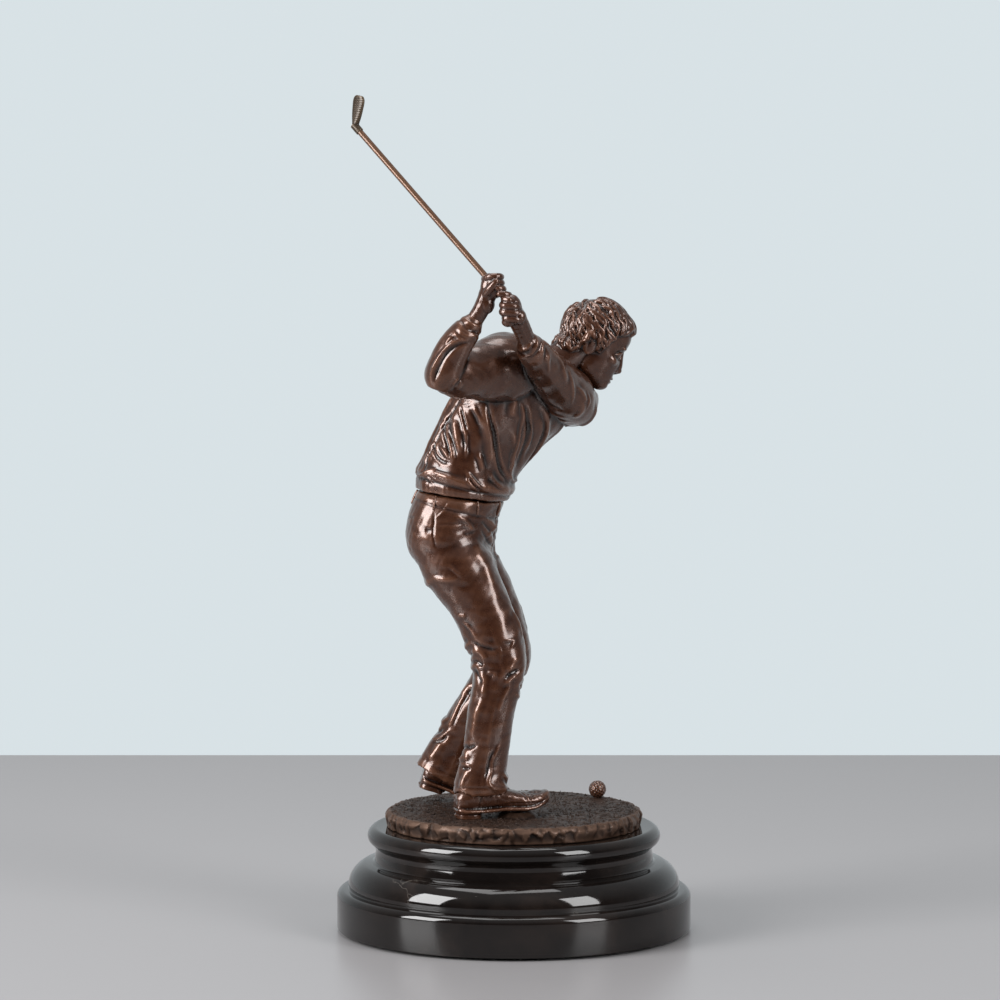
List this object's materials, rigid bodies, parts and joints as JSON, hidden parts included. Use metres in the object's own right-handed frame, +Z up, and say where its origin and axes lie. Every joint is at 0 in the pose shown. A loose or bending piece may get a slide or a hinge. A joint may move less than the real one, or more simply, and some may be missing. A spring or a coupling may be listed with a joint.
{
  "type": "figure trophy",
  "caption": "Bronze golfer at the top of the backswing on a textured turf plate, bolted through a stepped round black marble base.",
  "frame": {"origin": "centre of the underside of the round base", "axes": "+Z up; the golfer stands facing +X, with the right side of the body towards -Y"},
  "size_m": [0.162, 0.162, 0.3806],
  "materials": {
    "felt": "glued wool felt",
    "marble": "black marble with pale veins, polished",
    "fixings": "zinc plated steel",
    "bronze": "dark brown patinated bronze, waxed",
    "turf_bronze": "rough cast bronze, brown-grey patina",
    "club_bronze": "drawn rod, lighter brown patina"
  },
  "bodies": {
    "trophy": {"felt_pad": "felt", "marble_base": "marble", "base_washer": "fixings", "base_nut": "fixings", "centre_stud": "fixings", "turf_plate": "turf_bronze", "golf_ball": "bronze", "ball_pin": "fixings", "right_shoe": "bronze", "left_shoe": "bronze", "foot_screws": "fixings", "foot_washers": "fixings", "trousers": "bronze", "shirt": "bronze", "right_sleeve": "bronze", "left_sleeve": "bronze", "right_hand": "bronze", "left_hand": "bronze", "head": "bronze", "joint_pins": "fixings"},
    "club": {"club_shaft": "club_bronze", "club_head": "club_bronze"}
  },
  "joints": [
    {"name": "club_slide", "type": "slide", "parent": "trophy", "child": "club", "axis": [-0.6223, 0.3457, 0.7023], "range_m": [0, 0.03]}
  ]
}
